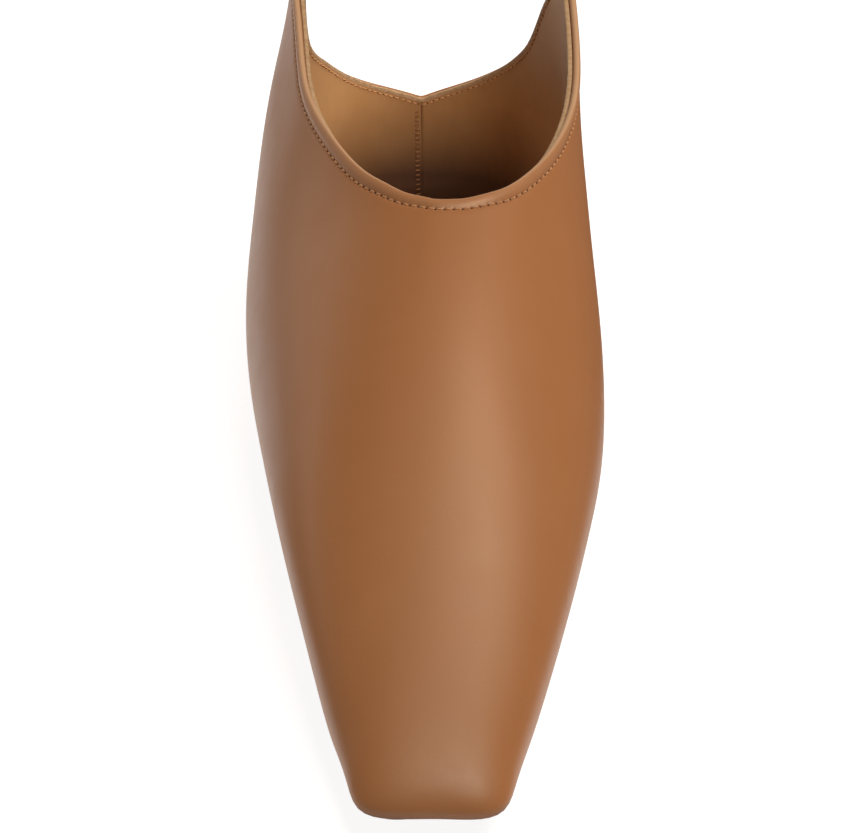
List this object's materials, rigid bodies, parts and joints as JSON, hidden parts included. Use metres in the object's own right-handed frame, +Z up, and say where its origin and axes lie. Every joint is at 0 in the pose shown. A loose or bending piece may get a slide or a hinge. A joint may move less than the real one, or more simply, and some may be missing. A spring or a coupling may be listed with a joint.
{
  "type": "slingback pump",
  "caption": "Woman's right leather slingback pump with a long square toe, deep round throat, low counter, open back window, sling strap and low heel.",
  "frame": {"origin": "on the floor, under the middle of the flat forefoot tread", "axes": "+Z up, toe towards -Y, heel towards +Y, big-toe side towards +X"},
  "size_m": [0.0868, 0.2922, 0.1002],
  "materials": {
    "tan_leather": "smooth tan calf with a soft satin sheen",
    "lining_leather": "matte tan lining leather",
    "sole_leather": "dense sole leather with a waxed edge",
    "stacked_leather": "dark waxed stacked leather",
    "black_rubber": "matte black rubber"
  },
  "bodies": {
    "root": {"upper": "tan_leather", "insole": "lining_leather", "outsole": "sole_leather", "heel": "stacked_leather", "top_lift": "black_rubber"}
  },
  "joints": []
}
